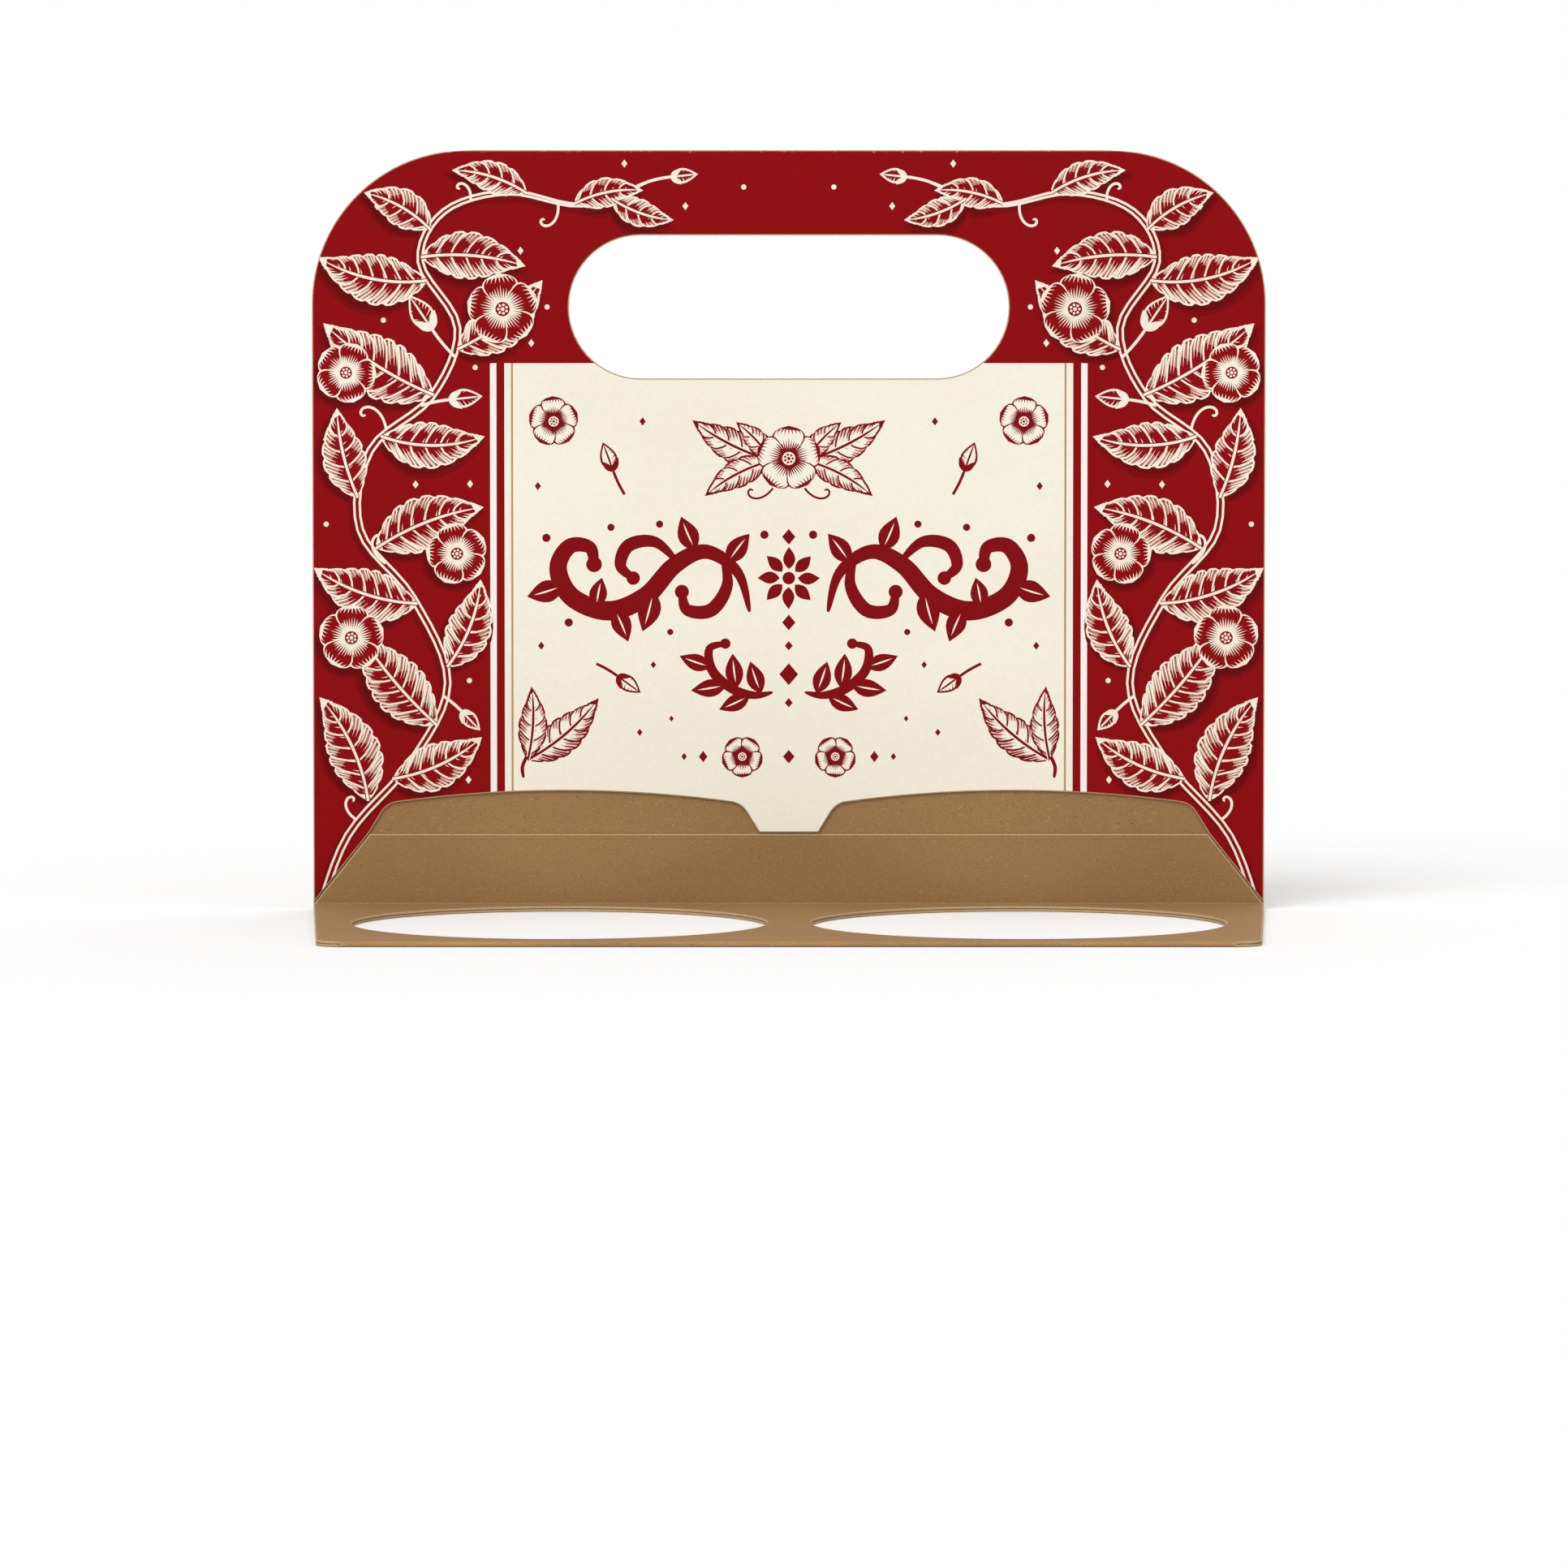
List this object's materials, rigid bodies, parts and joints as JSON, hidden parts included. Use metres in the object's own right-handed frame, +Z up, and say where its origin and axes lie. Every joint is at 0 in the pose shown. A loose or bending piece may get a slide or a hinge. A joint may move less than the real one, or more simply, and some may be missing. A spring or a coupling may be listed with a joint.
{
  "type": "cardboard cup carrier",
  "caption": "Folded board carrier: an upright printed panel with a hand slot, over a level shelf with round holes that hold paper cups by their rims.",
  "frame": {"origin": "centre of the footprint, on the surface that the shelf stands on", "axes": "+Z up, +X along the width, -Y towards the shelf's front edge; the panel stands at +Y"},
  "size_m": [0.18, 0.089, 0.1435],
  "materials": {
    "printed_board": "matt kraft board, printed in red and cream on the front of the panel"
  },
  "bodies": {
    "root": {"carrier_board": "printed_board"}
  },
  "joints": []
}
